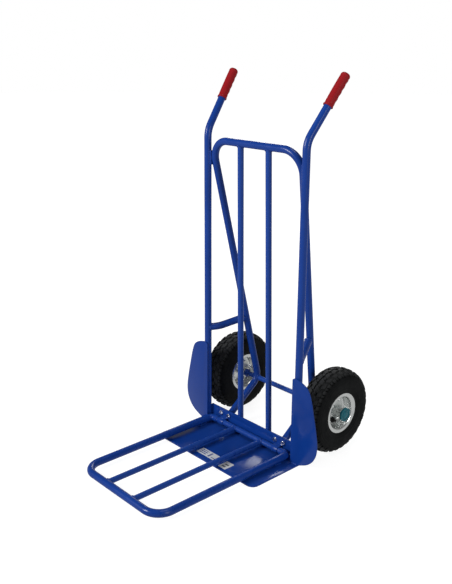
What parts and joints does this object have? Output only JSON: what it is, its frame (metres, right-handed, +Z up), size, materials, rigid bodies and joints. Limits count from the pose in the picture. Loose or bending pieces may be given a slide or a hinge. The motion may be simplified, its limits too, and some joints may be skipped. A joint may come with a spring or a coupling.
{
  "type": "hand truck",
  "caption": "Two-wheeled tubular hand truck with a hooped back frame, bent toe plate, folding tubular toe extension, wheel guards and pneumatic tyres.",
  "frame": {"origin": "middle of the bounding box, on the floor", "axes": "+Z up, +Y to the rear where the handles and axle are, +X to the right side seen from behind the handles; the toe points along -Y"},
  "size_m": [0.5682, 0.7796, 1.1093],
  "materials": {
    "frame_paint": "glossy powder coat",
    "plate_paint": "glossy powder coat on sheet",
    "grip_rubber": "soft red moulded grip",
    "tyre_rubber": "black tyre rubber",
    "tube_rubber": "black inner tube",
    "pad_rubber": "black rubber",
    "zinc": "zinc-plated pressed steel",
    "bright_zinc": "bright zinc fasteners",
    "bearing_steel": "steel bearing",
    "cap_plastic": "teal cap"
  },
  "bodies": {
    "frame": {"left_upright": "frame_paint", "right_upright": "frame_paint", "hoop_tube": "frame_paint", "left_inner_bar": "frame_paint", "right_inner_bar": "frame_paint", "left_side_strut": "frame_paint", "right_side_strut": "frame_paint", "leg_weld_beads": "frame_paint", "toe_plate": "plate_paint", "left_wheel_guard": "plate_paint", "right_wheel_guard": "plate_paint", "leg_foot_plates": "frame_paint", "left_grip": "grip_rubber", "right_grip": "grip_rubber", "axle": "frame_paint", "axle_collars": "frame_paint", "axle_washers": "zinc", "left_hub_cap": "cap_plastic", "right_hub_cap": "cap_plastic", "hinge_clips": "frame_paint", "hinge_bolts": "bright_zinc", "hinge_nuts": "bright_zinc", "rest_stops": "frame_paint"},
    "extension": {"extension_frame": "frame_paint", "extension_rear_tube": "frame_paint", "extension_left_bar": "frame_paint", "extension_right_bar": "frame_paint"},
    "left_wheel": {"left_tyre": "tyre_rubber", "left_inner_tube": "tube_rubber", "left_rim_outer": "zinc", "left_rim_inner": "zinc", "left_hub_tube": "zinc", "left_hub_bearings": "bearing_steel", "left_rim_bolts": "bright_zinc", "left_rim_nuts": "bright_zinc", "left_valve": "pad_rubber"},
    "right_wheel": {"right_tyre": "tyre_rubber", "right_inner_tube": "tube_rubber", "right_rim_outer": "zinc", "right_rim_inner": "zinc", "right_hub_tube": "zinc", "right_hub_bearings": "bearing_steel", "right_rim_bolts": "bright_zinc", "right_rim_nuts": "bright_zinc", "right_valve": "pad_rubber"}
  },
  "joints": [
    {"name": "left_wheel_spin", "type": "hinge", "parent": "frame", "child": "left_wheel", "pos_m": [-0.205, 0.2598, 0.13], "axis": [1, 0, 0], "continuous": true},
    {"name": "right_wheel_spin", "type": "hinge", "parent": "frame", "child": "right_wheel", "pos_m": [0.205, 0.2598, 0.13], "axis": [1, 0, 0], "continuous": true},
    {"name": "extension_fold", "type": "hinge", "parent": "frame", "child": "extension", "pos_m": [0, 0.1072, 0.019], "axis": [-1, 0, 0], "range_deg": [0, 89]}
  ]
}
